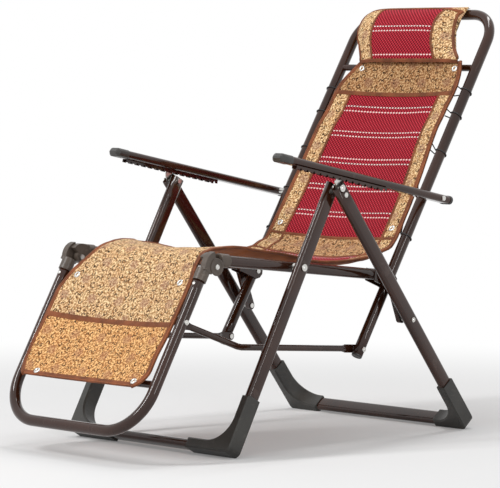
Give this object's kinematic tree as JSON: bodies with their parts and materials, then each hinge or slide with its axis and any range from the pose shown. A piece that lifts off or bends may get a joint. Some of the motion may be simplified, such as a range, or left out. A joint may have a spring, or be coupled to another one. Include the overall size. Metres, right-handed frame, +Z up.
{
  "type": "folding sun lounger",
  "caption": "Folding reclining lounger: crossed oval-tube legs, round-tube seat, back and footrest linked by bent rods, notched armrests, padded mat and head pillow.",
  "frame": {"origin": "centre of the lounger's overall box, on the floor", "axes": "+Z up, +Y towards the back rest's top, -Y towards the footrest, +X towards the sitter's left"},
  "size_m": [0.631, 1.357, 1.1258],
  "materials": {
    "frame_paint": "gloss",
    "foot_plastic": "satin",
    "elbow_plastic": "satin",
    "cap_plastic": "satin",
    "steel": "zinc plated",
    "mat_fabric": "woven",
    "pillow_fabric": "woven"
  },
  "bodies": {
    "front_legs": {"apex_rivets": "steel", "front_feet": "foot_plastic", "front_leg_frame": "frame_paint", "seat_pivot_bolts": "steel"},
    "armrests": {"arm_caps": "cap_plastic", "arm_plugs": "cap_plastic", "arm_rack_left": "frame_paint", "arm_rack_right": "frame_paint", "armrest_left": "frame_paint", "armrest_right": "frame_paint"},
    "arm_bolts": {"arm_pivot_bolts": "steel"},
    "back": {"back_cross_tube": "frame_paint", "back_frame": "frame_paint", "back_link_pins": "steel", "back_plugs": "cap_plastic", "head_pillow": "pillow_fabric", "mat_back": "mat_fabric"},
    "seat": {"back_pivot_bolts": "steel", "knee_rivets": "steel", "mat_seat": "mat_fabric", "rear_clevises": "frame_paint", "seat_elbows": "elbow_plastic", "seat_rail_left": "frame_paint", "seat_rail_right": "frame_paint", "swing_bosses": "steel"},
    "rear_legs": {"finger_rivets": "steel", "locking_fingers": "steel", "rear_feet": "foot_plastic", "rear_leg_frame": "frame_paint", "swing_rivets": "steel"},
    "footrest": {"foot_elbows": "elbow_plastic", "foot_link_pins": "steel", "footrest_cross_tube": "frame_paint", "footrest_frame": "frame_paint", "mat_leg": "mat_fabric"},
    "long_links": {"long_link_left": "frame_paint", "long_link_right": "frame_paint"},
    "swing_links": {"swing_links": "frame_paint"}
  },
  "joints": [
    {"name": "fold", "type": "hinge", "parent": "front_legs", "child": "rear_legs", "pos_m": [0, -0.03195, 0.646], "axis": [-1, 0, 0], "range_deg": [0, 20]},
    {"name": "seat_swing", "type": "hinge", "parent": "front_legs", "child": "seat", "pos_m": [0, -0.14025, 0.45175], "axis": [-1, 0, 0], "range_deg": [0, 15]},
    {"name": "swing_link_turn", "type": "hinge", "parent": "rear_legs", "child": "swing_links", "pos_m": [0, 0.2429, 0.30189], "axis": [-1, 0, 0], "range_deg": [0, 38]},
    {"name": "recline", "type": "hinge", "parent": "seat", "child": "back", "pos_m": [0, 0.22617, 0.39851], "axis": [-1, 0, 0], "range_deg": [0, 28]},
    {"name": "footrest_lift", "type": "hinge", "parent": "seat", "child": "footrest", "pos_m": [0, -0.4155, 0.46407], "axis": [-1, 0, 0], "range_deg": [0, 40]},
    {"name": "long_link_turn", "type": "hinge", "parent": "back", "child": "long_links", "pos_m": [0, 0.11948, 0.22935], "axis": [1, 0, 0], "range_deg": [0, 27]},
    {"name": "arm_level", "type": "hinge", "parent": "back", "child": "arm_bolts", "pos_m": [0, 0.36007, 0.61081], "axis": [1, 0, 0], "range_deg": [0, 21]},
    {"name": "arm_lift", "type": "hinge", "parent": "arm_bolts", "child": "armrests", "pos_m": [0, 0.36007, 0.61081], "axis": [-1, 0, 0], "range_deg": [0, 2.5]}
  ],
  "couplings": [
    {"joint": "seat_swing", "follows": "fold", "ratio": 0.72},
    {"joint": "swing_link_turn", "follows": "fold", "ratio": 1.84},
    {"joint": "arm_lift", "follows": "fold", "ratio": 0.1},
    {"joint": "footrest_lift", "follows": "recline", "ratio": 1.42},
    {"joint": "long_link_turn", "follows": "recline", "ratio": 0.93},
    {"joint": "arm_level", "follows": "recline", "ratio": 0.705}
  ]
}
